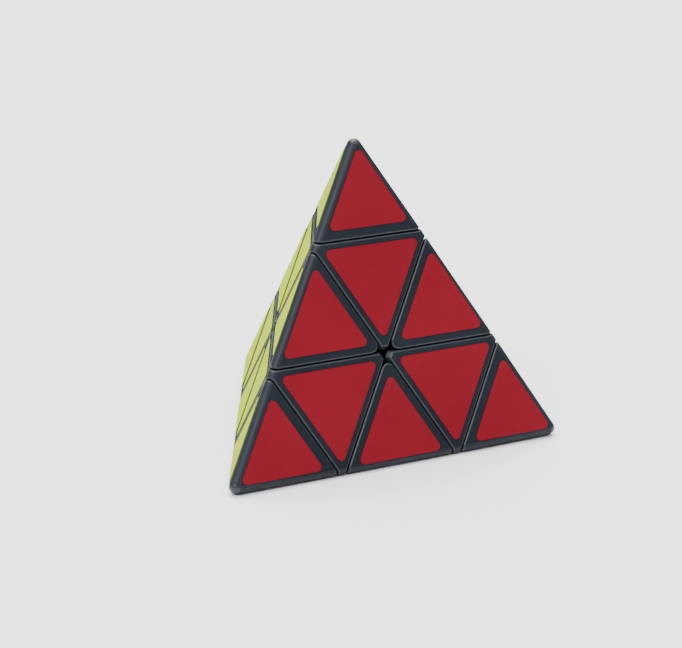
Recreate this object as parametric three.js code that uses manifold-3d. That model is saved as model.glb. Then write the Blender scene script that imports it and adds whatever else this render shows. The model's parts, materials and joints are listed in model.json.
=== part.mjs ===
// Pyramid twisty puzzle: a core with four spring-loaded screws, four axial pieces, four tips,
// six edge pieces and nine coloured stickers on each of the four faces.
// Millimetres, +Z up. The origin is the core centre, where the four turning axes meet.

import * as THREE from 'three';
import { ConvexGeometry } from 'three/addons/geometries/ConvexGeometry.js';
import { mergeVertices } from 'three/addons/utils/BufferGeometryUtils.js';
import Module from 'manifold-3d';

const wasm = await Module();
wasm.setup();

// Driving dimensions.
const EDGE = 96; // edge of the sharp pyramid that all pieces are cut from
const GAP = 0.3; // air between neighbouring pieces
const SEAM_R = 0.45; // rounding along the seams
const RIM_R = 1.6; // rounding along the six long edges
const PIT_R = 2; // rounding of the edge pieces where they meet at a face centre
const PIT_CUT = 1.3; // how far the axial pieces are cut back at a face centre
const POINT_R = 1.8; // rounding of the four points
const ARC_STEPS = 3; // flats along each rounded edge

const HUB_R = 11; // ball that the feet of the edge pieces slide round
const ARM_R = 3.8;
const ARM_END = 13.1;
const FOOT_IN_R = 11.6;
const FOOT_OUT_R = 16.4;
const FOOT_CUT = 1; // distance of the cutting planes from the centre, inside the feet
const CARVE_R = 17.2; // hollow in the axial and edge pieces that the feet turn in
const STEM_R = 4.4;
const STEM_END = 13.5;

const SCREW_R = 1.45;
const SCREW_START = 6.4;
const HEAD_R = 3.4;
const HEAD_START = 23.9;
const HEAD_END = 25.7;
const THREAD_BORE_R = 1.5;
const SHANK_BORE_R = 1.75;
const SPRING_SEAT = 17.2;
const SPRING_R = 2.6;
const WIRE_R = 0.35;
const SPRING_TURNS = 4.5;

const SOCKET_R = 4.5; // bore in the axial piece for the spring, screw head and tip stem
const LIP_R = 3.5;
const LIP_START = 29.4;
const TIP_STEM_R = 3.2;
const TIP_BEAD_R = 3.95;
const TIP_STEM_END = 26.6;
const TIP_SLOT = 1.4;

const STICKER_T = 0.12;
const ADHESIVE = 0.03; // clear film between sticker and plastic
const STICKER_SIDE = { axial: 26.9, edge: 24, tip: 22.7 };
const STICKER_R = 1.2;

// The four turning axes, from the core centre to the points: 0 is the top one.
const HEIGHT = EDGE * Math.sqrt(2 / 3);
const FACE_D = HEIGHT / 4;
const DEG = Math.PI / 180;
const POINTS = [0, 1, 2, 3];
const AXES = [new THREE.Vector3(0, 0, 1)];
for (const angle of [-150, -30, 90]) {
  const out = Math.sqrt(8) / 3;
  AXES.push(new THREE.Vector3(out * Math.cos(angle * DEG), out * Math.sin(angle * DEG), -1 / 3));
}

// Three square axes through the middles of opposite long edges.
const SQUARE = [1, 2, 3].map((n) => AXES[0].clone().add(AXES[n]).normalize());

const ORIGIN = new THREE.Vector3();
const UP_Y = new THREE.Vector3(0, 1, 0);
const UP_Z = new THREE.Vector3(0, 0, 1);

const FACES = [
  { name: 'green', colour: [0.0, 0.42, 0.2] }, // opposite point 0, on the ground
  { name: 'blue', colour: [0.02, 0.17, 0.62] },
  { name: 'yellow', colour: [0.8, 0.84, 0.2] },
  { name: 'red', colour: [0.62, 0.06, 0.11] },
];
const PAIRS = [[0, 1], [0, 2], [0, 3], [1, 2], [2, 3], [3, 1]];

function material(colour, roughness, metalness) {
  const color = new THREE.Color().setRGB(...colour, THREE.SRGBColorSpace);
  return new THREE.MeshStandardMaterial({ color, roughness, metalness });
}

function others(...used) {
  return POINTS.filter((n) => !used.includes(n));
}

// Point with the given four weights, which sum to 3: a point of the pyramid has 3 on its own axis.
function lattice(weights) {
  const point = new THREE.Vector3();
  weights.forEach((weight, n) => point.addScaledVector(AXES[n], weight * FACE_D));
  return point;
}

function weights(pairs) {
  const list = [0, 0, 0, 0];
  for (const [n, weight] of pairs) {
    list[n] = weight;
  }
  return list;
}

// Points spread over a ball, so that faces square to the turning axes come out flat.
function ball(centre, radius, steps) {
  const points = [];
  for (let a = -steps; a <= steps; a += 1) {
    for (let b = -steps; b <= steps; b += 1) {
      for (let c = -steps; c <= steps; c += 1) {
        if (Math.max(Math.abs(a), Math.abs(b), Math.abs(c)) === steps) {
          const out = new THREE.Vector3();
          out.addScaledVector(SQUARE[0], a).addScaledVector(SQUARE[1], b).addScaledVector(SQUARE[2], c);
          points.push(out.setLength(radius).add(centre));
        }
      }
    }
  }
  return points;
}

// A closed geometry as a solid that can be joined and cut.
function solid(geometry) {
  const bare = geometry.clone();
  bare.deleteAttribute('normal');
  bare.deleteAttribute('uv');
  const merged = mergeVertices(bare, 1e-4);
  const corners = merged.index.array;
  const kept = [];
  for (let n = 0; n < corners.length; n += 3) {
    const [a, b, c] = corners.slice(n, n + 3);
    if (a !== b && b !== c && c !== a) {
      kept.push(a, b, c);
    }
  }
  return new wasm.Manifold(new wasm.Mesh({
    numProp: 3,
    vertProperties: merged.attributes.position.array,
    triVerts: new Uint32Array(kept),
  }));
}

function geometryOf(shape) {
  const { vertProperties, triVerts } = shape.getMesh();
  const geometry = new THREE.BufferGeometry();
  geometry.setAttribute('position', new THREE.BufferAttribute(vertProperties, 3));
  geometry.setIndex(new THREE.BufferAttribute(triVerts, 1));
  geometry.computeVertexNormals();
  return geometry;
}

function hull(points) {
  return solid(new ConvexGeometry(points));
}

function sphere(radius) {
  return hull(ball(ORIGIN, radius, 3));
}

// Turned shape about a turning axis: each profile point is [radius, distance from the centre].
function turned(axis, profile, segments) {
  const points = profile.map(([radius, along]) => new THREE.Vector2(radius, along));
  const geometry = new THREE.LatheGeometry(points, segments);
  geometry.applyQuaternion(new THREE.Quaternion().setFromUnitVectors(UP_Y, axis));
  return solid(geometry);
}

function rod(axis, radius, start, end, segments) {
  return turned(axis, [[0, start], [radius, start], [radius, end], [0, end]], segments);
}

// What is left of a shape below a plane square to the axis.
function below(shape, axis, distance) {
  const size = 2 * EDGE;
  const block = new THREE.BoxGeometry(size, size, size);
  block.translate(0, 0, distance + size / 2);
  block.applyQuaternion(new THREE.Quaternion().setFromUnitVectors(UP_Z, axis));
  return shape.subtract(solid(block));
}

function above(shape, axis, distance) {
  return below(shape, axis.clone().negate(), -distance);
}

// Middle of a cell.
function middle(corners) {
  const centre = new THREE.Vector3();
  corners.forEach((corner) => centre.addScaledVector(corner, 1 / corners.length));
  return centre;
}

// Distance from the middle of a cell to its faces, shrunk by half the gap.
function inradius(corners) {
  return EDGE / 3 / Math.sqrt(corners.length === 4 ? 24 : 6) - GAP / 2;
}

// Centre of a ball that touches the faces round a corner of a shrunk cell.
function inset(corners, n, radius) {
  const centre = middle(corners);
  const scale = (inradius(corners) - radius) / (inradius(corners) + GAP / 2);
  return corners[n].clone().sub(centre).multiplyScalar(scale).add(centre);
}

// End of the rounded edge between two faces, where a seam face cuts it: small balls along an arc.
// The faces are given by their outward normals.
function rimEnd(corners, first, second, seam, radius) {
  const reach = inradius(corners);
  const up = first.clone().add(second).normalize();
  const side = first.clone().sub(second).normalize();
  const along = first.clone().cross(second).normalize();
  const half = Math.acos(up.dot(first));
  const points = [];
  for (let n = 0; n <= ARC_STEPS; n += 1) {
    const angle = half * (2 * n / ARC_STEPS - 1);
    const round = up.clone().multiplyScalar(Math.cos(angle)).addScaledVector(side, Math.sin(angle));
    const at = up.clone().multiplyScalar((reach - radius) / up.dot(first));
    at.addScaledVector(round, radius - SEAM_R);
    at.addScaledVector(along, (reach - SEAM_R - at.dot(seam)) / along.dot(seam)).add(middle(corners));
    points.push(...ball(at, SEAM_R, 1), at.clone().addScaledVector(round, SEAM_R));
  }
  return points;
}

// Outward normals of a tetrahedral cell, each opposite the corner of the same number.
function normals(corners) {
  return corners.map((corner) => middle(corners).sub(corner).normalize());
}

function core() {
  let shape = sphere(HUB_R);
  for (const axis of AXES) {
    const arm = [[0, 0], [ARM_R, 0], [ARM_R, ARM_END - 0.5], [ARM_R - 0.5, ARM_END], [0, ARM_END]];
    shape = shape.add(turned(axis, arm, 20));
  }
  for (const axis of AXES) {
    shape = shape.subtract(rod(axis, THREAD_BORE_R, SCREW_START - 0.4, ARM_END + 1, 16));
  }
  return shape;
}

function screw(axis) {
  const profile = [
    [0, SCREW_START], [0.5, SCREW_START], [SCREW_R, SCREW_START + 1.6], [SCREW_R, HEAD_START],
    [HEAD_R, HEAD_START], [HEAD_R, HEAD_END - 0.6], [HEAD_R - 0.6, HEAD_END], [0, HEAD_END],
  ];
  let shape = turned(axis, profile, 14);
  for (const [width, depth] of [[3.8, 0.7], [0.7, 3.8]]) {
    const slot = new THREE.BoxGeometry(width, 2.4, depth);
    slot.translate(0, HEAD_END, 0);
    slot.applyQuaternion(new THREE.Quaternion().setFromUnitVectors(UP_Y, axis));
    shape = shape.subtract(solid(slot));
  }
  return shape;
}

class Coil extends THREE.Curve {
  getPoint(t, target = new THREE.Vector3()) {
    const angle = 2 * Math.PI * SPRING_TURNS * t;
    const low = SPRING_SEAT + WIRE_R + 0.2;
    const high = HEAD_START - WIRE_R - 0.2;
    return target.set(SPRING_R * Math.cos(angle), low + (high - low) * t, SPRING_R * Math.sin(angle));
  }
}

function spring(axis) {
  const wire = new THREE.Shape();
  for (let n = 0; n < 5; n += 1) {
    const [x, y] = [WIRE_R * Math.cos(n * 72 * DEG), WIRE_R * Math.sin(n * 72 * DEG)];
    if (n === 0) {
      wire.moveTo(x, y);
    } else {
      wire.lineTo(x, y);
    }
  }
  const options = { steps: 10 * SPRING_TURNS, extrudePath: new Coil(), bevelEnabled: false };
  const geometry = new THREE.ExtrudeGeometry(wire, options);
  geometry.applyQuaternion(new THREE.Quaternion().setFromUnitVectors(UP_Y, axis));
  return solid(geometry);
}

// Octahedral piece on a turning axis, with a stem that reaches in to the core's arm.
function axialPiece(i) {
  const sides = others(i);
  const outer = sides.map((j) => lattice(weights([[i, 2], [j, 1]])));
  const inner = sides.map((f) => lattice(weights(others(f).map((n) => [n, 1]))));
  const corners = [...outer, ...inner];
  const points = [];
  for (const n of [0, 1, 2]) {
    const [first, second] = others(i, sides[n]).map((k) => AXES[k].clone().negate());
    points.push(...rimEnd(corners, first, second, AXES[i], RIM_R));
    points.push(...rimEnd(corners, first, second, AXES[sides[n]], RIM_R));
    for (let m = 0; m < 6; m += 1) {
      if (m !== n && m !== n + 3) {
        const start = inset(corners, n + 3, SEAM_R);
        const along = inset(corners, m, SEAM_R).sub(start).normalize();
        points.push(...ball(start.addScaledVector(along, PIT_CUT), SEAM_R, 1));
      }
    }
  }
  const axis = AXES[i];
  const top = FACE_D * 5 / 3 + 1;
  const socket = [
    [0, STEM_END - 1], [SHANK_BORE_R, STEM_END - 1], [SHANK_BORE_R, SPRING_SEAT], [SOCKET_R, SPRING_SEAT],
    [SOCKET_R, LIP_START], [LIP_R, LIP_START + 0.8], [LIP_R, top], [0, top],
  ];
  return hull(points)
    .subtract(sphere(CARVE_R))
    .add(rod(axis, STEM_R, STEM_END, CARVE_R + 2, 20))
    .subtract(turned(axis, socket, 20));
}

// Small tetrahedral tip on a slotted stem that snaps into the axial piece.
function tipPiece(i) {
  const corners = [lattice(weights([[i, 3]])), ...others(i).map((j) => lattice(weights([[i, 2], [j, 1]])))];
  const points = ball(inset(corners, 0, POINT_R), POINT_R, 2);
  const out = normals(corners);
  for (const n of [1, 2, 3]) {
    const [c, d] = others(0, n);
    points.push(...rimEnd(corners, out[c], out[d], out[0], RIM_R));
  }
  const axis = AXES[i];
  const base = FACE_D * 5 / 3 + GAP / 2;
  const stem = [
    [0, TIP_STEM_END], [TIP_STEM_R, TIP_STEM_END], [TIP_BEAD_R, TIP_STEM_END + 1],
    [TIP_BEAD_R, TIP_STEM_END + 1.5], [TIP_STEM_R, LIP_START], [TIP_STEM_R, base + 1], [0, base + 1],
  ];
  const slot = new THREE.BoxGeometry(2.4 * TIP_BEAD_R, 2 * (LIP_START + 2 - TIP_STEM_END), TIP_SLOT);
  slot.translate(0, TIP_STEM_END, 0);
  slot.applyQuaternion(new THREE.Quaternion().setFromUnitVectors(UP_Y, axis));
  return hull(points).add(turned(axis, stem, 20).subtract(solid(slot)));
}

// Tetrahedral piece on a long edge, with a foot that hooks under the axial pieces beside it.
function edgePiece(i, j) {
  const [k, l] = others(i, j);
  const corners = [
    lattice(weights([[i, 2], [j, 1]])), lattice(weights([[i, 1], [j, 2]])),
    lattice(weights([[i, 1], [j, 1], [k, 1]])), lattice(weights([[i, 1], [j, 1], [l, 1]])),
  ];
  const points = [];
  const out = normals(corners);
  for (const [seam, radius] of [[1, RIM_R], [0, RIM_R], [3, PIT_R], [2, PIT_R]]) {
    const [c, d] = seam < 2 ? [2, 3] : [0, 1];
    points.push(...rimEnd(corners, out[c], out[d], out[seam], radius));
  }
  const limit = FOOT_CUT - GAP / 2;
  const hollow = sphere(FOOT_IN_R);
  const neck = below(below(sphere(CARVE_R + 2), AXES[k], limit), AXES[l], limit).subtract(hollow);
  let foot = sphere(FOOT_OUT_R).subtract(hollow);
  for (const n of [k, l]) {
    foot = below(foot, AXES[n], limit);
  }
  for (const n of [i, j]) {
    foot = above(foot, AXES[n], FOOT_CUT + GAP / 2);
  }
  return hull(points).subtract(sphere(CARVE_R).subtract(neck)).add(foot);
}

// Rounded triangle on the cell with the given three lattice corners, on the face opposite point f.
function sticker(cell, f, side) {
  const shape = new THREE.Shape();
  const reach = side / Math.sqrt(3) - 2 * STICKER_R;
  for (const turn of [0, 120, 240]) {
    const [x, y] = [reach * Math.cos(turn * DEG), reach * Math.sin(turn * DEG)];
    shape.absarc(x, y, STICKER_R, (turn - 60) * DEG, (turn + 60) * DEG, false);
  }
  const geometry = new THREE.ExtrudeGeometry(shape, {
    depth: STICKER_T, bevelEnabled: false, curveSegments: 2,
  });
  const normal = AXES[f].clone().negate();
  const centre = new THREE.Vector3();
  cell.forEach((corner) => centre.addScaledVector(corner, 1 / 3));
  const x = cell[0].clone().sub(centre).normalize();
  const y = normal.clone().cross(x);
  const place = new THREE.Matrix4().makeBasis(x, y, normal);
  place.setPosition(centre.addScaledVector(normal, ADHESIVE - GAP / 2));
  return geometryOf(solid(geometry.applyMatrix4(place)));
}

const BLACK = material([0.05, 0.06, 0.075], 0.32, 0);
const INNER = material([0.11, 0.115, 0.12], 0.5, 0);
const STEEL = material([0.62, 0.63, 0.64], 0.35, 1);

const puzzle = new THREE.Group();

function add(name, geometry, look) {
  const mesh = new THREE.Mesh(geometry, look);
  mesh.name = name;
  puzzle.add(mesh);
}

function addStickers(f) {
  const { name, colour } = FACES[f];
  const look = material(colour, 0.38, 0);
  const around = others(f);
  for (const i of around) {
    const [j, k] = around.filter((n) => n !== i);
    const near = [lattice(weights([[i, 2], [j, 1]])), lattice(weights([[i, 2], [k, 1]]))];
    const middle = lattice(weights([[i, 1], [j, 1], [k, 1]]));
    add(`${name}_tip_${i}`, sticker([lattice(weights([[i, 3]])), ...near], f, STICKER_SIDE.tip), look);
    add(`${name}_axial_${i}`, sticker([middle, ...near], f, STICKER_SIDE.axial), look);
  }
  for (const [i, j] of PAIRS.filter((pair) => !pair.includes(f))) {
    const [k] = around.filter((n) => n !== i && n !== j);
    const cell = [weights([[i, 1], [j, 1], [k, 1]]), weights([[i, 2], [j, 1]]), weights([[i, 1], [j, 2]])];
    add(`${name}_edge_${i}${j}`, sticker(cell.map(lattice), f, STICKER_SIDE.edge), look);
  }
}

add('core', geometryOf(core()), INNER);
for (const i of POINTS) {
  add(`screw_${i}`, geometryOf(screw(AXES[i])), STEEL);
  add(`spring_${i}`, geometryOf(spring(AXES[i])), STEEL);
  add(`axial_${i}`, geometryOf(axialPiece(i)), BLACK);
  add(`tip_${i}`, geometryOf(tipPiece(i)), BLACK);
}
for (const [i, j] of PAIRS) {
  add(`edge_${i}${j}`, geometryOf(edgePiece(i, j)), BLACK);
}
for (const f of POINTS) {
  addStickers(f);
}

export default puzzle;
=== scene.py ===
"""Pyramid twisty puzzle: smooth rounded plastic pieces, vinyl stickers and the mechanism inside.

Metres, +Z up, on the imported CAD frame, whose origin is the core centre.
"""

import json
import math

import bmesh
import bpy
from mathutils import Matrix, Vector

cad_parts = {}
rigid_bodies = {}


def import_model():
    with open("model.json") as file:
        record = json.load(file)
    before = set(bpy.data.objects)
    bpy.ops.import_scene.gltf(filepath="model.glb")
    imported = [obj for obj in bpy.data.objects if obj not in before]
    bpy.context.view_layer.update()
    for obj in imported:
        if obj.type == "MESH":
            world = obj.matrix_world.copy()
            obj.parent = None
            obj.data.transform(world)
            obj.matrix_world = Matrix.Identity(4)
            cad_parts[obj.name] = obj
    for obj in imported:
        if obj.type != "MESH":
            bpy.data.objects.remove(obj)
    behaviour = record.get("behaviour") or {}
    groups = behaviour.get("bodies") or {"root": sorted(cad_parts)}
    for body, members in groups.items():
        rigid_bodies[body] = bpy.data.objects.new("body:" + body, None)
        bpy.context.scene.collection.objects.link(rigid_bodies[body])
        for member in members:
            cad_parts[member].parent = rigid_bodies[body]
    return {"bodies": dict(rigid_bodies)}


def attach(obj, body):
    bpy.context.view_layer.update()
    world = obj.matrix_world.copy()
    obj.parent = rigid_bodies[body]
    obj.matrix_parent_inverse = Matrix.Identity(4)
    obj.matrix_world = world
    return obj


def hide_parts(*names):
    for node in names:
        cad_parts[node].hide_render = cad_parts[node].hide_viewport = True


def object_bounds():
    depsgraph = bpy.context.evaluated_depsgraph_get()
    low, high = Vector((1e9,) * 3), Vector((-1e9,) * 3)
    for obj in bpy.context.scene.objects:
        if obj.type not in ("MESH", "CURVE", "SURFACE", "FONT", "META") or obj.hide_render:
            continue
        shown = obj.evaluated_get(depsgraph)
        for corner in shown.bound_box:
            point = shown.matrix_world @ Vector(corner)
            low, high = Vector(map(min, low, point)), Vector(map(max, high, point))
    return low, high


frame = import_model()
CAD_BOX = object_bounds()

# Camera, in metres and degrees: where it looks, from which side, how high and how far off.
AIM = (-0.0004, 0.0030, 0.0071)
AZIMUTH = -30.0
ELEVATION = 19.0
DISTANCE = 0.6122
ROLL = 1.6
LENS = 131.5

# Floor and light: metres, watts, and linear colours of the surroundings at heights from eye level, 0, to
# overhead, 1.
FLOOR_HALF = 3
FLOOR_DROP = 0.00002
SKY = [(0.0, (0.035, 0.038, 0.042)), (0.4, (0.07, 0.075, 0.08)), (0.85, (0.95, 0.97, 1.0))]
SKY_STRENGTH = 2.6
KEY = {"place": (-0.9, -0.4, 1.0), "size": 0.4, "power": 12, "aim": (0, 0, 0)}
TOP = {"place": (0.1, 0.55, 1.2), "size": 0.9, "power": 30, "aim": (0, 0.15, 0)}

# Sizes of the puzzle in millimetres. A START or an END is a distance from the centre along a turning axis.
MM = 0.001

# Outside: the long edge between its sharp corners, the gap between pieces, the roundings of seams, long
# edges, pits and points, and how far the pit cuts back the inner corners of the axial pieces.
EDGE = 96.0
GAP = 0.25
SEAM_R = 0.4
RIM_R = 1.6
PIT_R = 2.0
PIT_CUT = 1.3
POINT_R = 1.8

# Core, the feet that slide round it, and the hollow carved out of the pieces for the feet.
HUB_R = 11.0
ARM_R = 3.8
ARM_END = 13.1
ARM_BEVEL = 0.5
FOOT_IN_R = 11.5
FOOT_OUT_R = 16.4
FOOT_CUT = 1.0
CARVE_R = 17.1
NECK_R = CARVE_R + 2

# Screws, with the bores in the core's arms.
SCREW_R = 1.45
SCREW_START = 6.4
SCREW_POINT_R = 0.4
SCREW_POINT = 1.4
THREAD_PITCH = 0.5
THREAD_DEPTH = 0.3
THREAD_END = 12.5
THREAD_BORE_R = 1.5
THREAD_BORE_START = 6.0
HEAD_R = 3.4
HEAD_START = 23.9
HEAD_END = 25.7
HEAD_BEVEL = 0.15
HEAD_ROUND = 0.8
CROSS_LENGTH = 3.8
CROSS_WIDTH = 0.7
CROSS_DEPTH = 1.2

# Inside of the axial pieces, with the springs.
STEM_R = 4.4
STEM_START = 13.5
STEM_END = 19.5
STEM_BEVEL = 0.4
SHANK_BORE_R = 1.75
SPRING_SEAT = 17.2
SPRING_R = 2.6
SPRING_SPACE = 0.1
SPRING_TURNS = 4.5
WIRE_R = 0.35

# Sockets of the axial pieces and the stems of the tips that snap into them.
SOCKET_R = 4.5
LIP_R = 3.5
LIP_START = 29.4
LIP_SLOPE = 0.8
TIP_STEM_R = 3.2
TIP_STEM_START = 26.6
TIP_BEAD_R = 3.95
TIP_BEAD_START = 27.6
TIP_BEAD_END = 28.1
TIP_SLOT = 1.4
TIP_SLOT_END = 31.4

# Stickers: they lie on faces set back by half the CAD's gap.
CAD_GAP = 0.3
STICKER_T = 0.12
STICKER_BEVEL = 0.05
ADHESIVE = 0.03
STICKER_SIDE = {"axial": 26.9, "edge": 24.0, "tip": 22.7}
STICKER_R = 1.2

# How finely the meshes are made.
ARC_STEPS = 8
RING_STEPS = 48
SPHERE_STEPS = 8
SEAM_STEPS = 2
PIT_STEPS = 3
POINT_STEPS = 6
COIL_STEPS = 32
WIRE_SIDES = 12

# How far a cutter runs past what it cuts, how close points are joined as one, and in degrees which bends
# count as flat and which stay sharp.
OVERCUT = 1
WELD = 0.001
FLAT_ANGLE = 0.2
SHARP_ANGLE = 30

# How the finishes are told apart: the least area of a flat face, the width of a long edge's rounding, and
# the cosines of directions that count as the same and as square.
FLAT_AREA = 4.0
RIM_WIDTH = 2.4
SAME = 0.9999
ACROSS = 0.01

# Distances from the centre to a face and to the seam under a tip, and the four turning axes: top, front
# left, front right and back. Each face has the number of the point opposite it.
FACE_D = EDGE * math.sqrt(2 / 3) / 4
TIP_SEAM = FACE_D * 5 / 3
OUT = math.sqrt(8) / 3
AXES = [Vector((0, 0, 1))]
for degrees in (-150, -30, 90):
    turn = math.radians(degrees)
    AXES.append(Vector((OUT * math.cos(turn), OUT * math.sin(turn), -1 / 3)))
SQUARE = [(AXES[0] + AXES[n]).normalized() for n in (1, 2, 3)]  # square to each other
PAIRS = [(0, 1), (0, 2), (0, 3), (1, 2), (2, 3), (3, 1)]
FACE_NAMES = ["green", "blue", "yellow", "red"]


def make_camera():
    """Camera at the photograph's viewing angle."""
    data = bpy.data.cameras.new("camera")
    data.lens = LENS
    camera = bpy.data.objects.new("camera", data)
    bpy.context.scene.collection.objects.link(camera)
    a, e = math.radians(AZIMUTH), math.radians(ELEVATION)
    back = Vector((math.sin(a) * math.cos(e), -math.cos(a) * math.cos(e), math.sin(e)))
    camera.location = Vector(AIM) + back * DISTANCE
    level = (-back).to_track_quat("-Z", "Y").to_matrix()
    camera.rotation_euler = (level @ Matrix.Rotation(math.radians(ROLL), 3, "Z")).to_euler()
    bpy.context.scene.camera = camera


def others(*used):
    """The point numbers that aren't used."""
    return [n for n in range(4) if n not in used]


def lattice(weights):
    """Point with the given weight on each axis; the weights sum to 3."""
    point = Vector()
    for n, weight in weights.items():
        point += AXES[n] * (weight * FACE_D)
    return point


# Meshes

def ball(centre, radius, steps):
    """Points over a ball, so that faces square to the turning axes come out flat."""
    points = []
    span = range(-steps, steps + 1)
    for a in span:
        for b in span:
            for c in span:
                if max(abs(a), abs(b), abs(c)) == steps:
                    out = SQUARE[0] * a + SQUARE[1] * b + SQUARE[2] * c
                    points.append(centre + out.normalized() * radius)
    return points


def mesh_object(name, bm):
    """Object in the scene that holds the finished bmesh."""
    mesh = bpy.data.meshes.new(name)
    bm.to_mesh(mesh)
    bm.free()
    made = bpy.data.objects.new(name, mesh)
    bpy.context.scene.collection.objects.link(made)
    return made


def hull(name, points):
    """Closed convex piece round the points."""
    bm = bmesh.new()
    for point in points:
        bm.verts.new(point * MM)
    made = bmesh.ops.convex_hull(bm, input=bm.verts)
    spare = set(made["geom_interior"]) | set(made["geom_unused"])
    loose = [v for v in spare if isinstance(v, bmesh.types.BMVert)]
    bmesh.ops.delete(bm, geom=loose, context="VERTS")
    bmesh.ops.dissolve_limit(bm, angle_limit=math.radians(FLAT_ANGLE), verts=bm.verts, edges=bm.edges)
    bmesh.ops.recalc_face_normals(bm, faces=bm.faces)
    return mesh_object(name, bm)


def middle(corners):
    """Mean of the points."""
    return sum(corners, Vector()) / len(corners)


def inradius(corners):
    """Distance from the middle of a cell to its faces, shrunk by half the gap."""
    return EDGE / 3 / math.sqrt(24 if len(corners) == 4 else 6) - GAP / 2


def inset(corners, n, radius):
    """Centre of a ball that touches the faces round a corner of a shrunk cell."""
    centre, reach = middle(corners), inradius(corners)
    return centre + (corners[n] - centre) * ((reach - radius) / (reach + GAP / 2))


def rim_end(corners, first, second, seam, radius):
    """End of the rounded edge between two faces, where a seam cuts it: small balls along an arc.

    The faces are given by their outward normals.
    """
    reach = inradius(corners)
    up = (first + second).normalized()
    side = (first - second).normalized()
    along = first.cross(second).normalized()
    half = math.acos(up.dot(first))
    points = []
    for n in range(ARC_STEPS + 1):
        angle = half * (2 * n / ARC_STEPS - 1)
        bend = up * math.cos(angle) + side * math.sin(angle)
        at = up * ((reach - radius) / up.dot(first)) + bend * (radius - SEAM_R)
        at += along * ((reach - SEAM_R - at.dot(seam)) / along.dot(seam)) + middle(corners)
        points += ball(at, SEAM_R, SEAM_STEPS) + [at + bend * SEAM_R]
    return points


def normals(corners):
    """Outward normals of a tetrahedral cell, each opposite the corner of the same number."""
    return [(middle(corners) - corner).normalized() for corner in corners]


def turned(name, axis, profile):
    """A profile of (radius, distance along) turned about a turning axis; radius 0 is a single point."""
    bm = bmesh.new()
    rings = []
    for radius, along in profile:
        ring = []
        for n in range(RING_STEPS if radius else 1):
            angle = 2 * math.pi * n / RING_STEPS
            out = radius * MM
            ring.append(bm.verts.new((out * math.cos(angle), out * math.sin(angle), along * MM)))
        rings.append(ring)
    for low, high in zip(rings, rings[1:]):
        for n in range(RING_STEPS):
            m = n + 1
            quad = [low[n % len(low)], low[m % len(low)], high[m % len(high)], high[n % len(high)]]
            corners = list(dict.fromkeys(quad))
            if len(corners) > 2:
                bm.faces.new(corners)
    bmesh.ops.recalc_face_normals(bm, faces=bm.faces)
    bm.transform(Vector((0, 0, 1)).rotation_difference(axis).to_matrix().to_4x4())
    return mesh_object(name, bm)


def block(name, axis, low, high, wide, deep):
    """Box that runs along an axis from low to high."""
    bm = bmesh.new()
    bmesh.ops.create_cube(bm, size=1)
    size = Matrix.Diagonal((wide * MM, deep * MM, (high - low) * MM, 1))
    lift = Matrix.Translation((0, 0, (low + high) / 2 * MM))
    bm.transform(Vector((0, 0, 1)).rotation_difference(axis).to_matrix().to_4x4() @ lift @ size)
    return mesh_object(name, bm)


def combine(target, tool, operation):
    """Joins or cuts target with tool, and removes the tool."""
    change = target.modifiers.new("combine", "BOOLEAN")
    change.object = tool
    change.operation = operation
    change.solver = "EXACT"
    bpy.context.view_layer.update()
    graph = bpy.context.evaluated_depsgraph_get()
    mesh = bpy.data.meshes.new_from_object(target.evaluated_get(graph))
    target.modifiers.clear()
    target.data = mesh
    bpy.data.objects.remove(tool)
    return target


def weld(made):
    """Closes the hairline slivers that joins and cuts leave."""
    bm = bmesh.new()
    bm.from_mesh(made.data)
    bmesh.ops.remove_doubles(bm, verts=bm.verts, dist=WELD * MM)
    bmesh.ops.dissolve_degenerate(bm, edges=bm.edges, dist=WELD * MM)
    bm.to_mesh(made.data)
    bm.free()


def cut_below(target, axis, distance):
    """Keeps what lies below a plane square to the axis."""
    cutter = block("cutter", axis, distance, distance + 2 * EDGE, 3 * EDGE, 3 * EDGE)
    return combine(target, cutter, "DIFFERENCE")


def sphere(radius):
    """Ball about the centre of the puzzle."""
    return hull("sphere", ball(Vector(), radius, SPHERE_STEPS))


def core_master():
    """Ball with four arms, each with a bore for its screw."""
    made = sphere(HUB_R)
    soft = 0.3 * ARM_BEVEL
    arm = [
        (0, 0), (ARM_R, 0), (ARM_R, ARM_END - ARM_BEVEL), (ARM_R - soft, ARM_END - soft),
        (ARM_R - ARM_BEVEL, ARM_END), (0, ARM_END),
    ]
    low, high = THREAD_BORE_START, ARM_END + OVERCUT
    bore = [(0, low), (THREAD_BORE_R, low), (THREAD_BORE_R, high), (0, high)]
    for axis in AXES:
        combine(made, turned("arm", axis, arm), "UNION")
    for axis in AXES:
        combine(made, turned("bore", axis, bore), "DIFFERENCE")
    return made


def screw_master():
    """Cross-slotted screw with a rounded head and ridges for a thread over its inner end."""
    along = SCREW_START + SCREW_POINT
    profile = [(0, SCREW_START), (SCREW_POINT_R, SCREW_START), (SCREW_R, along)]
    while along < THREAD_END:
        profile.append((SCREW_R - THREAD_DEPTH, along + THREAD_PITCH / 2))
        along += THREAD_PITCH
        profile.append((SCREW_R, along))
    profile += [(SCREW_R, HEAD_START), (HEAD_R - HEAD_BEVEL, HEAD_START), (HEAD_R, HEAD_START + HEAD_BEVEL)]
    for degrees in range(0, 91, 15):
        bend = math.radians(degrees)
        radius = HEAD_R - HEAD_ROUND * (1 - math.cos(bend))
        profile.append((radius, HEAD_END - HEAD_ROUND * (1 - math.sin(bend))))
    made = turned("screw_master", AXES[0], profile + [(0, HEAD_END)])
    for wide, deep in ((CROSS_LENGTH, CROSS_WIDTH), (CROSS_WIDTH, CROSS_LENGTH)):
        slot = block("slot", AXES[0], HEAD_END - CROSS_DEPTH, HEAD_END + OVERCUT, wide, deep)
        combine(made, slot, "DIFFERENCE")
    return made


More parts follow.
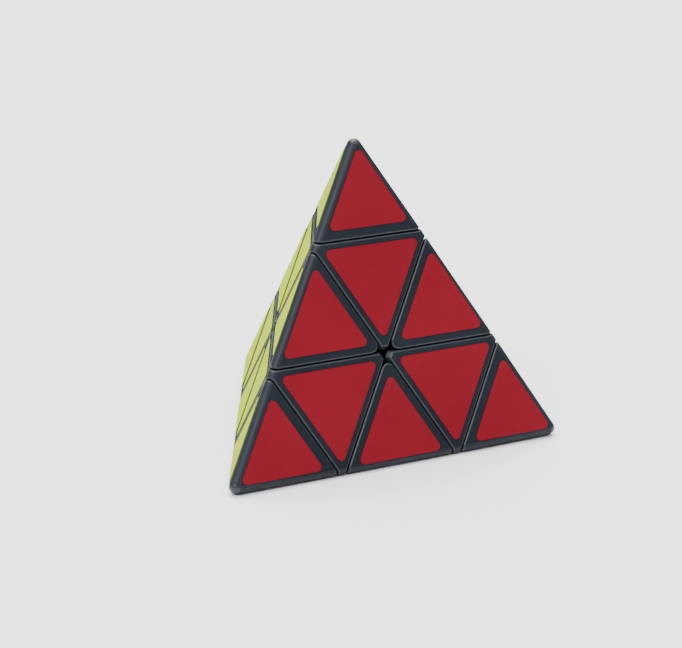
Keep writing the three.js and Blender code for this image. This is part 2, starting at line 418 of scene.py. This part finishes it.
def spring_master():
    """Round wire wound into a coil."""
    low, high = SPRING_SEAT + WIRE_R + SPRING_SPACE, HEAD_START - WIRE_R - SPRING_SPACE
    steps = int(COIL_STEPS * SPRING_TURNS)
    up = AXES[0]
    bm = bmesh.new()
    rings = []
    for n in range(steps + 1):
        angle = 2 * math.pi * SPRING_TURNS * n / steps
        out = Vector((math.cos(angle), math.sin(angle), 0))
        at = out * SPRING_R + up * (low + (high - low) * n / steps)
        ring = []
        for m in range(WIRE_SIDES):
            bend = 2 * math.pi * m / WIRE_SIDES
            ring.append(bm.verts.new((at + (out * math.cos(bend) + up * math.sin(bend)) * WIRE_R) * MM))
        rings.append(ring)
    for first, second in zip(rings, rings[1:]):
        for m in range(WIRE_SIDES):
            after = (m + 1) % WIRE_SIDES
            bm.faces.new((first[m], first[after], second[after], second[m]))
    bm.faces.new(rings[0][::-1])
    bm.faces.new(rings[-1])
    bmesh.ops.recalc_face_normals(bm, faces=bm.faces)
    return mesh_object("spring_master", bm)


def axial_master():
    """Octahedron with cut-off inner corners, a hollow underside, a stem and a socket for the tip."""
    corners = [lattice({0: 2, n: 1}) for n in (1, 2, 3)]
    corners += [lattice({n: 1 for n in others(f)}) for f in (1, 2, 3)]
    points = []
    for n in range(3):
        first, second = [-AXES[k] for k in others(0, n + 1)]
        points += rim_end(corners, first, second, AXES[0], RIM_R)
        points += rim_end(corners, first, second, AXES[n + 1], RIM_R)
        start = inset(corners, n + 3, SEAM_R)
        for m in range(6):
            if m not in (n, n + 3):
                along = (inset(corners, m, SEAM_R) - start).normalized()
                points += ball(start + along * PIT_CUT, SEAM_R, PIT_STEPS)
    made = hull("axial_master", points)
    combine(made, sphere(CARVE_R), "DIFFERENCE")
    stem = [
        (0, STEM_START), (STEM_R - STEM_BEVEL, STEM_START), (STEM_R, STEM_START + STEM_BEVEL),
        (STEM_R, STEM_END), (0, STEM_END),
    ]
    combine(made, turned("stem", AXES[0], stem), "UNION")
    low, high = STEM_START - OVERCUT, TIP_SEAM + OVERCUT
    socket = [
        (0, low), (SHANK_BORE_R, low), (SHANK_BORE_R, SPRING_SEAT), (SOCKET_R, SPRING_SEAT),
        (SOCKET_R, LIP_START), (LIP_R, LIP_START + LIP_SLOPE), (LIP_R, high), (0, high),
    ]
    return combine(made, turned("socket", AXES[0], socket), "DIFFERENCE")


def tip_master():
    """Tetrahedron with a slotted, beaded stem."""
    corners = [lattice({0: 3})] + [lattice({0: 2, n: 1}) for n in (1, 2, 3)]
    points = ball(inset(corners, 0, POINT_R), POINT_R, POINT_STEPS)
    out = normals(corners)
    for n in (1, 2, 3):
        c, d = others(0, n)
        points += rim_end(corners, out[c], out[d], out[0], RIM_R)
    made = hull("tip_master", points)
    high = TIP_SEAM + GAP / 2 + OVERCUT
    stem = [
        (0, TIP_STEM_START), (TIP_STEM_R, TIP_STEM_START), (TIP_BEAD_R, TIP_BEAD_START),
        (TIP_BEAD_R, TIP_BEAD_END), (TIP_STEM_R, LIP_START), (TIP_STEM_R, high), (0, high),
    ]
    shaft = turned("shaft", AXES[0], stem)
    slot = block("slot", AXES[0], TIP_STEM_START - OVERCUT, TIP_SLOT_END, 3 * TIP_BEAD_R, TIP_SLOT)
    combine(shaft, slot, "DIFFERENCE")
    return combine(made, shaft, "UNION")


def edge_master():
    """Tetrahedron carved out from inside, with a foot on a neck."""
    weights = [{0: 2, 1: 1}, {0: 1, 1: 2}, {0: 1, 1: 1, 2: 1}, {0: 1, 1: 1, 3: 1}]
    corners = [lattice(weight) for weight in weights]
    points = []
    out = normals(corners)
    for seam, radius in ((1, RIM_R), (0, RIM_R), (3, PIT_R), (2, PIT_R)):
        c, d = (2, 3) if seam < 2 else (0, 1)
        points += rim_end(corners, out[c], out[d], out[seam], radius)
    made = hull("edge_master", points)
    limit = FOOT_CUT - GAP / 2
    neck = sphere(NECK_R)
    foot = sphere(FOOT_OUT_R)
    for n in (2, 3):
        cut_below(neck, AXES[n], limit)
        cut_below(foot, AXES[n], limit)
    for n in (0, 1):
        cut_below(foot, -AXES[n], -(FOOT_CUT + GAP / 2))
    combine(neck, sphere(FOOT_IN_R), "DIFFERENCE")
    combine(foot, sphere(FOOT_IN_R), "DIFFERENCE")
    combine(made, combine(sphere(CARVE_R), neck, "DIFFERENCE"), "DIFFERENCE")
    return combine(made, foot, "UNION")


def on_long_edge(face):
    """True for a face of the rounding that runs along one of the six long edges."""
    for i, j in PAIRS:
        along = (AXES[i] - AXES[j]).normalized()
        off = face.center / MM - lattice({i: 3})
        near = (off - along * off.dot(along)).length < RIM_WIDTH
        if near and abs(face.normal.dot(along)) < ACROSS:
            return True
    return False


def mark_finish(mesh):
    """Seam roundings get the first material, large flat faces the second and long edges the third."""
    for face in mesh.polygons:
        square = max(abs(face.normal.dot(axis)) for axis in AXES)
        flat = square > SAME and face.area > FLAT_AREA * MM * MM
        face.material_index = 1 if flat else 2 if on_long_edge(face) else 0


def turn_to(order):
    """Rotation that carries axis n to axis order[n]; 0.75 makes it exact for these four axes."""
    total = Matrix(((0, 0, 0),) * 3)
    for n, target in enumerate(order):
        start, end = AXES[n], AXES[target]
        total += Matrix([[0.75 * end[r] * start[c] for c in range(3)] for r in range(3)])
    return total.to_4x4()


def even_order(i, j):
    """Order of the points that starts with i and j and that a turn can reach."""
    k, l = others(i, j)
    order = [i, j, k, l]
    swaps = sum(order[a] > order[b] for a in range(4) for b in range(a + 1, 4))
    return order if swaps % 2 == 0 else [i, j, l, k]


def copy_piece(master, name, order):
    """A copy of the master piece, turned to the place that the order gives."""
    mesh = master.data.copy()
    mesh.transform(turn_to(order))
    made = bpy.data.objects.new(name, mesh)
    bpy.context.scene.collection.objects.link(made)
    return made


def sticker(name, cell, f, side):
    """Rounded triangle with a fine rounded rim, on the face opposite point f."""
    normal = -AXES[f]
    centre = middle(cell)
    x = (cell[0] - centre).normalized()
    y = normal.cross(x)
    reach = side / math.sqrt(3) - 2 * STICKER_R
    profile = [(0, 0), (0, STICKER_T - STICKER_BEVEL)]
    for degrees in (30, 60, 90):
        bend = math.radians(degrees)
        lift = STICKER_T - STICKER_BEVEL * (1 - math.sin(bend))
        profile.append((STICKER_BEVEL * (1 - math.cos(bend)), lift))
    bm = bmesh.new()
    rings = []
    for shrink, lift in profile:
        ring = []
        radius = STICKER_R - shrink
        base = centre + normal * (ADHESIVE - CAD_GAP / 2 + lift)
        for corner in (0, 120, 240):
            mid = Vector((reach, 0)) @ Matrix.Rotation(-math.radians(corner), 2)
            for degrees in range(-60, 61, 15):
                angle = math.radians(corner + degrees)
                u, v = mid.x + radius * math.cos(angle), mid.y + radius * math.sin(angle)
                ring.append(bm.verts.new((base + x * u + y * v) * MM))
        rings.append(ring)
    count = len(rings[0])
    for low, high in zip(rings, rings[1:]):
        for n in range(count):
            after = (n + 1) % count
            # The rim faces take the second material, the sticker colour darkened as painted shade.
            bm.faces.new((low[n], low[after], high[after], high[n])).material_index = 1
    bm.faces.new(rings[-1])
    bm.faces.new(rings[0][::-1])
    bmesh.ops.recalc_face_normals(bm, faces=bm.faces)
    return mesh_object(name, bm)


def smooth(made):
    """Soft shading on the roundings, with the flat faces kept flat."""
    made.data.shade_smooth()
    made.data.set_sharp_from_angle(angle=math.radians(SHARP_ANGLE))
    weight = made.modifiers.new("weighted", "WEIGHTED_NORMAL")
    weight.keep_sharp = True
    weight.weight = 100


# Materials

def new_material(name):
    """New material with its nodes, links and main shader."""
    made = bpy.data.materials.new(name)
    made.use_nodes = True
    return made, made.node_tree.nodes, made.node_tree.links, made.node_tree.nodes["Principled BSDF"]


def noise(nodes, links, coords, scale, detail=3, rough=0.5):
    """Value from 0 to 1 of a cloud pattern; the scale is in patches to the metre."""
    node = nodes.new("ShaderNodeTexNoise")
    node.inputs["Scale"].default_value = scale
    node.inputs["Detail"].default_value = detail
    node.inputs["Roughness"].default_value = rough
    links.new(coords.outputs["Object"], node.inputs["Vector"])
    return node.outputs["Fac"]


def spread(nodes, links, source, low, high, start=0.3, end=0.7):
    """Stretches start to end of the source over low to high."""
    node = nodes.new("ShaderNodeMapRange")
    node.inputs["From Min"].default_value = start
    node.inputs["From Max"].default_value = end
    node.inputs["To Min"].default_value = low
    node.inputs["To Max"].default_value = high
    links.new(source, node.inputs["Value"])
    return node.outputs["Result"]


def ramp(nodes, links, source, stops):
    """Colour that goes from stop to stop as the source rises."""
    node = nodes.new("ShaderNodeValToRGB")
    node.color_ramp.elements.remove(node.color_ramp.elements[1])
    node.color_ramp.elements[0].position = stops[0][0]
    node.color_ramp.elements[0].color = (*stops[0][1], 1)
    for place, colour in stops[1:]:
        node.color_ramp.elements.new(place).color = (*colour, 1)
    links.new(source, node.inputs["Fac"])
    return node.outputs["Color"]


def relief(nodes, links, shader, height, strength, distance):
    """Bump on the shader; the distance is in metres."""
    bump = nodes.new("ShaderNodeBump")
    bump.inputs["Strength"].default_value = strength
    bump.inputs["Distance"].default_value = distance
    links.new(height, bump.inputs["Height"])
    links.new(bump.outputs["Normal"], shader.inputs["Normal"])


def plastic(name, dark, light, roughness, ior):
    """Moulded plastic with a fine grain, a faint cloudiness and patches that are worn smoother."""
    made, nodes, links, shader = new_material(name)
    coords = nodes.new("ShaderNodeTexCoord")
    cloud = noise(nodes, links, coords, scale=60, detail=4)
    links.new(ramp(nodes, links, cloud, [(0.3, dark), (0.75, light)]), shader.inputs["Base Color"])
    wear = noise(nodes, links, coords, scale=350, detail=5, rough=0.65)
    links.new(spread(nodes, links, wear, *roughness), shader.inputs["Roughness"])
    grain = noise(nodes, links, coords, scale=2600, detail=2)
    relief(nodes, links, shader, grain, strength=0.06, distance=0.00005)
    shader.inputs["IOR"].default_value = ior
    return made


def vinyl(name, dark, light):
    """Satin vinyl with a slight orange-peel surface and faint handling marks."""
    made, nodes, links, shader = new_material(name)
    coords = nodes.new("ShaderNodeTexCoord")
    cloud = noise(nodes, links, coords, scale=45)
    links.new(ramp(nodes, links, cloud, [(0.3, dark), (0.7, light)]), shader.inputs["Base Color"])
    rub = noise(nodes, links, coords, scale=220, detail=5, rough=0.6)
    links.new(spread(nodes, links, rub, *VINYL_ROUGHNESS), shader.inputs["Roughness"])
    peel = noise(nodes, links, coords, scale=900, detail=2)
    relief(nodes, links, shader, peel, strength=0.1, distance=0.00006)
    shader.inputs["IOR"].default_value = VINYL_IOR
    return made


def metal(name, dark, light):
    """Plated steel with a patchy sheen."""
    made, nodes, links, shader = new_material(name)
    coords = nodes.new("ShaderNodeTexCoord")
    patches = noise(nodes, links, coords, scale=900, detail=4)
    links.new(ramp(nodes, links, patches, [(0.3, dark), (0.7, light)]), shader.inputs["Base Color"])
    links.new(spread(nodes, links, patches, 0.25, 0.45, 0.0, 1.0), shader.inputs["Roughness"])
    shader.inputs["Metallic"].default_value = 1
    return made


# Each plastic: darkest and lightest linear colour, roughness from and to, and index of refraction.
PLASTICS = {
    "black_plastic": ((0.007, 0.010, 0.014), (0.010, 0.014, 0.019), (0.36, 0.48), 1.5),
    "black_plastic_flats": ((0.013, 0.017, 0.022), (0.018, 0.023, 0.029), (0.7, 0.85), 1.04),
    "black_plastic_edges": ((0.010, 0.013, 0.018), (0.014, 0.018, 0.024), (0.42, 0.54), 1.28),
    "inner_plastic": ((0.011, 0.012, 0.013), (0.02, 0.021, 0.022), (0.45, 0.6), 1.45),
}
STEEL = ((0.35, 0.36, 0.37), (0.55, 0.56, 0.57))
VINYL_ROUGHNESS = (0.6, 0.72)
VINYL_IOR = 1.07
# Share of each sticker colour that the sticker rims keep: painted shade along the sticker edges.
RIM_PAINTED_SHADE = 0.35
STICKER_COLOURS = {
    "green": ((0.0, 0.13, 0.03), (0.0, 0.15, 0.035)),
    "blue": ((0.0, 0.022, 0.33), (0.0, 0.026, 0.37)),
    "yellow": ((0.35, 0.46, 0.004), (0.39, 0.50, 0.005)),
    "red": ((0.18, 0.009, 0.017), (0.20, 0.011, 0.019)),
}


def masters():
    """One piece of each kind, at its first place, listed with its materials and the name of its slot."""
    plastics = {name: plastic(name, *look) for name, look in PLASTICS.items()}
    shell = [plastics[f"black_plastic{finish}"] for finish in ("", "_flats", "_edges")]
    inner = [plastics["inner_plastic"]]
    steel = [metal("steel", *STEEL)]
    made = {
        "core": (core_master(), inner, "inner_plastic"),
        "screw": (screw_master(), steel, "steel"),
        "spring": (spring_master(), steel, "steel"),
        "axial": (axial_master(), shell, "black_plastic"),
        "tip": (tip_master(), shell, "black_plastic"),
        "edge": (edge_master(), shell, "black_plastic"),
    }
    for piece, looks, _ in made.values():
        weld(piece)
        if looks is shell:
            mark_finish(piece.data)
    return made


def places(kind):
    """Node name and order of the points for every place that a kind of piece goes to."""
    if kind == "core":
        return {"core": [0, 1, 2, 3]}
    if kind == "edge":
        return {f"edge_{i}{j}": even_order(i, j) for i, j in PAIRS}
    return {f"{kind}_{i}": even_order(i, 0) if i else [0, 1, 2, 3] for i in range(4)}


def build():
    """Copies of the masters at all their places."""
    for kind, (master, looks, slot) in masters().items():
        for node, order in places(kind).items():
            body = node if node in frame["bodies"] else "core"
            finish_piece(copy_piece(master, f"shell_{node}", order), node, body, looks, slot)
        bpy.data.objects.remove(master)


def build_stickers():
    """The nine stickers of each face, with one colour a face and a rim darkened with painted shade."""
    for f, colour in enumerate(FACE_NAMES):
        tones = STICKER_COLOURS[colour]
        # Rim tones: the sticker tones darkened as painted shade.
        painted_shade_tones = [tuple(RIM_PAINTED_SHADE * part for part in tone) for tone in tones]
        looks = [vinyl(f"vinyl_{colour}", *tones), vinyl(f"rim_{colour}", *painted_shade_tones)]
        for body, cell, side in sticker_cells(f):
            node = f"{colour}_{body}"
            finish_piece(sticker(f"film_{node}", cell, f, side), node, body, looks, f"sticker_{colour}")


def finish_piece(made, node, body, looks, slot):
    """Gives a piece its materials and soft shading, hangs it on the body that moves it and hides the CAD
    node that it stands in for.
    """
    for look in looks:
        made.data.materials.append(look)
    smooth(made)
    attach(made, body)
    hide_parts(node)


def sticker_cells(f):
    """Body, small triangle and sticker side for each of the nine stickers on the face opposite point f."""
    around = others(f)
    centre = lattice({n: 1 for n in around})
    for i in around:
        j, k = [n for n in around if n != i]
        near = [lattice({i: 2, j: 1}), lattice({i: 2, k: 1})]
        yield f"tip_{i}", [lattice({i: 3}), *near], STICKER_SIDE["tip"]
        yield f"axial_{i}", [centre, *near], STICKER_SIDE["axial"]
    for i, j in PAIRS:
        if f not in (i, j):
            near = [lattice({i: 2, j: 1}), lattice({i: 1, j: 2})]
            yield f"edge_{i}{j}", [centre, *near], STICKER_SIDE["edge"]


# Floor and light

def make_stage():
    """Plain pale floor, a hair below the lowest sticker."""
    bm = bmesh.new()
    bmesh.ops.create_grid(bm, x_segments=8, y_segments=8, size=FLOOR_HALF)
    bmesh.ops.translate(bm, verts=bm.verts, vec=(0, 0, CAD_BOX[0].z - FLOOR_DROP))
    floor = mesh_object("floor", bm)
    made, nodes, links, shader = new_material("pale_floor")
    cloud = noise(nodes, links, nodes.new("ShaderNodeTexCoord"), scale=8)
    tones = [(0.3, (0.93, 0.93, 0.93)), (0.7, (0.95, 0.95, 0.95))]
    links.new(ramp(nodes, links, cloud, tones), shader.inputs["Base Color"])
    shader.inputs["Roughness"].default_value = 0.7
    floor.data.materials.append(made)


def area_light(name, place, size, power, aim):
    """Square soft box that faces its aim."""
    data = bpy.data.lights.new(name, "AREA")
    data.energy = power
    data.size = size
    lamp = bpy.data.objects.new(name, data)
    lamp.location = place
    lamp.rotation_euler = (Vector(aim) - Vector(place)).to_track_quat("-Z", "Y").to_euler()
    bpy.context.scene.collection.objects.link(lamp)


def make_light():
    """Soft light from all round, brighter overhead than at eye level, and two soft boxes."""
    world = bpy.data.worlds.new("studio")
    world.use_nodes = True
    nodes, links = world.node_tree.nodes, world.node_tree.links
    coords = nodes.new("ShaderNodeTexCoord")
    split = nodes.new("ShaderNodeSeparateXYZ")
    links.new(coords.outputs["Generated"], split.inputs["Vector"])
    links.new(ramp(nodes, links, split.outputs["Z"], SKY), nodes["Background"].inputs["Color"])
    nodes["Background"].inputs["Strength"].default_value = SKY_STRENGTH
    bpy.context.scene.world = world
    area_light("key", **KEY)
    area_light("top", **TOP)


make_camera()
build()
build_stickers()
make_stage()
make_light()
